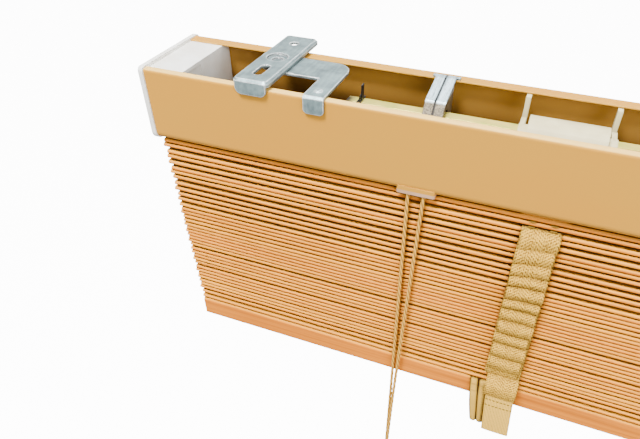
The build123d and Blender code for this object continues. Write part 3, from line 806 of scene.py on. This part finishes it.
# Points of (out, height, fold) down the tape: each fold rolls out, turns under and goes up behind the next
def tapeLine(s, high, low):
    unit = (high - low + s["overRail"]) / sum(s["foldShares"])
    line = [(out, high - s["tuckDrop"], 0) for out in s["tuck"]]
    start = high - s["startDrop"]
    bottom = start
    last = len(s["foldShares"]) - 1

    def foldTop(fold, under):
        return min(start - s["topGap"] - s["layerStep"] * fold, under + s["droop"])

    for fold, share in enumerate(s["foldShares"]):
        pitch = unit * share
        under = bottom
        bottom -= pitch
        deep = s["reach"] * s["reachShares"][fold]
        above = s["reach"] * s["reachShares"][fold - 1]
        notch = min(deep, above * s["notchGrowth"]) * s["notchShare"] if fold else 0.0
        lip = deep * s["lipShare"]
        top = foldTop(fold, under) if fold else under
        for step in range(1, 9 if fold else 1):
            rise = step / 8
            line.append((s["inner"] + (notch - s["inner"]) * rise, top + (under - top) * rise, fold))
        for step in range(1, 15):
            down = step / 14
            if down < 0.5:
                out = notch + (deep - notch) * math.sin(math.pi * down)
            else:
                out = deep - (deep - lip) * (2 * down - 1) ** 2
            line.append((out, under - pitch * down, fold))
        for step in range(1, 7):
            angle = math.pi * step / 7
            out = lip - s["turn"] * (1 - math.cos(angle)) / 2
            line.append((out, bottom - s["turnShare"] * s["turn"] * math.sin(angle), fold))
        nextTop = foldTop(fold + 1, bottom)
        if fold < last:
            for step in range(9):
                rise = step / 8
                reach = lip - s["turn"] + (s["behind"] - lip + s["turn"]) * rise
                line.append((reach, bottom + (nextTop - bottom) * rise, fold))
    return line, bottom


# The plain end comes out under the last fold, hangs past the bottom rail and turns back up.
def tailLine(s, bottom, railLow):
    low = railLow - s["tail"]
    out = s["tailOut"]
    high = bottom + 0.004
    line = []
    for step in range(16):
        share = step / 15
        line.append((out + 0.0006 * math.sin(math.pi * share), high + (low - high) * share, -1))
    for step in range(1, 7):
        angle = math.pi * step / 7
        line.append((out - 0.0016 * (1 - math.cos(angle)) / 2, low - 0.0008 * math.sin(angle), -1))
    for step in range(8):
        line.append((out - 0.0016 - 0.0018 * step / 7, low + (railLow + 0.006 - low) * step / 7, -1))
    return line


# Two narrow strips of the same cloth come over the bottom rail's edge beside the plain end.
def strandLine(s, railLow):
    over = ((-0.0045, 0.0002), (-0.002, 0.0003), (-0.0004, 0.0002), (0.0003, -0.0003), (0.0006, -0.0011))
    line = [(out, bottomTop + rise, -1) for out, rise in over]
    high = line[-1][1]
    low = railLow - s["tail"] + 0.002
    for step in range(1, 17):
        share = step / 16
        line.append((0.0006 + 0.0008 * math.sin(math.pi * share), high + (low - high) * share, -1))
    return line


def addRibbon(shape, line, s, spot, leans, slips):
    points, uvs, faces = shape
    base = len(points)
    along = 0.0
    columns = s["columns"]
    for number, (out, height, fold) in enumerate(line):
        if number:
            along += math.dist(line[number - 1][:2], (out, height))
        tilt = s["tilt"] * max(0.0, 1 - fold / s["tiltFolds"]) + leans[fold] if fold >= 0 else 0.0
        loose = min(1.0, max(0.0, out / 0.003))
        grown = min(1.0, max(0, number - 2) / 7) if spot["crown"] else loose
        for column in range(columns + 1):
            share = column / columns
            arch = (spot["crown"] or 0.0003) * math.sqrt(1 - (2 * share - 1) ** 2) * grown
            droop = 0.0009 * (2 * share - 1) ** 2 * loose if 0 <= fold < 7 else 0.0
            lean = spot["lean"] * (line[0][1] - height)
            narrow = 0.8 + 0.2 * math.sin(math.pi * number / (len(line) - 1)) if spot["crown"] else 1.0
            x = spot["middle"] + lean + (share - 0.5) * spot["wide"] * narrow + slips[fold] * loose
            y = spot["edge"] + spot["side"] * (s["clear"] + out + arch)
            points.append((x, y, height + tilt * (share - 0.65) * loose - droop))
            uvs.append((share + (0 if fold >= 0 else 4 if spot["crown"] else 2), along))
    ring = columns + 1
    for number in range(len(line) - 1):
        for column in range(columns):
            first = base + number * ring + column
            faces.append((first, first + 1, first + ring + 1, first + ring))
    return along


def applyModifiers(piece):
    bpy.context.view_layer.update()
    graph = bpy.context.evaluated_depsgraph_get()
    mesh = bpy.data.meshes.new_from_object(piece.evaluated_get(graph))
    piece.modifiers.clear()
    piece.data = mesh


def makeTape(ladder, side):
    s = tapeSettings
    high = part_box("slat_02")[0].z
    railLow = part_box("bottom_rail")[0].z
    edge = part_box("slat_02")[0].y if side < 0 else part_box("slat_02")[1].y
    middle = s["places"][ladder]
    spot = {"middle": middle, "wide": s["width"], "edge": edge, "side": side, "crown": 0.0, "lean": 0.0}
    line, bottom = tapeLine(s, high, bottomTop)
    count = len(s["foldShares"])
    leans = [chance.uniform(-0.0009, 0.0009) for fold in range(count)] + [0.0]
    slips = [chance.uniform(-0.0004, 0.0004) for fold in range(count)] + [0.0]
    slips[count - 1] = s["lastSlip"]
    shape = ([], [], [])
    length = addRibbon(shape, line, s, spot, leans, slips)
    spot["middle"] = middle + s["tailShift"]
    spot["wide"] = s["tailWide"]
    spot["lean"] = s["tailLean"]
    length += addRibbon(shape, tailLine(s, bottom, railLow), s, spot, leans, slips)
    for shift, wide, lean in s["strands"]:
        strand = dict(spot, middle=middle + shift, wide=wide, lean=lean, crown=s["strandCrown"])
        addRibbon(shape, strandLine(s, railLow), s, strand, leans, slips)
    points, uvs, faces = shape
    name = f"tape.{ladder + 1}.{'front' if side < 0 else 'back'}"
    tape = makeMesh(name, points, faces, tapeMaterial, uvs)
    solid = tape.modifiers.new("sheet", "SOLIDIFY")
    solid.thickness = s["sheet"]
    solid.offset = 0
    applyModifiers(tape)
    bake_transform(tape)
    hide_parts("ladder_tapes")
    return length


tapeLengths = [makeTape(ladder, side) for ladder in range(2) for side in (-1, 1)]
print("tapes", [round(length, 3) for length in tapeLengths])


# Rungs: two narrow woven strips under each slat at each ladder
rungSettings = {"wide": 0.0032, "sheet": 0.00012, "apart": 0.0055, "past": 0.0006}


def makeRungs(number, s):
    name = f"slat_{number:02d}"
    low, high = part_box(name)
    points = []
    uvs = []
    faces = []
    for middle in tapeSettings["places"]:
        for side in (-1, 1):
            x = middle + side * s["apart"]
            base = len(points)
            for y in (low.y - s["past"], high.y + s["past"]):
                for across, down in ((-0.5, 0), (0.5, 0), (0.5, 1), (-0.5, 1)):
                    points.append((x + across * s["wide"], y, low.z - 0.00002 - down * s["sheet"]))
                    uvs.append((2.5 + across, y - low.y))
            faces += [tuple(base + corner for corner in face) for face in ((0, 1, 2, 3), (7, 6, 5, 4))]
            for corner in range(4):
                after = (corner + 1) % 4
                faces.append((base + corner, base + corner + 4, base + after + 4, base + after))
    rung = makeMesh(f"rungs.{number:02d}", points, faces, tapeMaterial, uvs, smooth=False)
    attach(rung, name)


for number in range(1, 39):
    makeRungs(number, rungSettings)
print("rungs")


# Studio: a white sweep that glows but lights nothing, a steep soft key, a wide fill, a rim and a bright room
studioSettings = {
    "sweep": ((0.0, -1.78), (9.0, -1.78), (10.8, -1.3), (12.2, 0.4), (12.8, 3.0), (13.0, 14.0)),
    "sides": 48,
    "room": 0.95,
    "floorGlow": 12.0,
    "lights": (
        ((-0.65, -0.95, 1.8), (-0.2, -0.05, -0.1), 0.55, 135.0),
        ((1.1, -1.3, 0.8), (-0.1, -0.05, -0.1), 1.2, 40.0),
        ((-0.3, 0.8, 1.2), (-0.2, 0.0, 0.0), 0.8, 22.0),
    ),
}


def makeStudio(s):
    def floorFill(place):
        speck = place.noise(9.0, 2.0)
        return {"Base Color": speck.mix(tone(0.93, 0.93, 0.93), tone(0.95, 0.95, 0.95))}

    points = []
    faces = []
    sides = s["sides"]
    for reach, height in s["sweep"]:
        for side in range(sides):
            angle = 2 * math.pi * side / sides
            points.append((reach * math.cos(angle), reach * math.sin(angle), height))
    for ring in range(len(s["sweep"]) - 1):
        for side in range(sides):
            after = (side + 1) % sides
            near = ring * sides
            faces.append((near + side, near + sides + side, near + sides + after, near + after))
    glow = {"Emission_Color": tone(1, 1, 1), "Emission_Strength": s["floorGlow"]}
    floor = makeMesh("floor", points, faces, makeMaterial("paleFloor", floorFill, Roughness=0.9, **glow))
    floor.visible_diffuse = False
    floor.visible_glossy = False
    world = bpy.data.worlds.new("room")
    world.use_nodes = True
    world.node_tree.nodes["Background"].inputs[0].default_value = (1.0, 0.99, 0.97, 1.0)
    world.node_tree.nodes["Background"].inputs[1].default_value = s["room"]
    bpy.context.scene.world = world
    for number, (place, aim, wide, power) in enumerate(s["lights"]):
        data = bpy.data.lights.new(f"soft.{number + 1}", "AREA")
        data.size = wide
        data.energy = power
        light = bpy.data.objects.new(f"soft.{number + 1}", data)
        bpy.context.scene.collection.objects.link(light)
        light.location = place
        light.rotation_euler = (Vector(aim) - Vector(place)).to_track_quat("-Z", "Y").to_euler()


makeStudio(studioSettings)
print("studio")
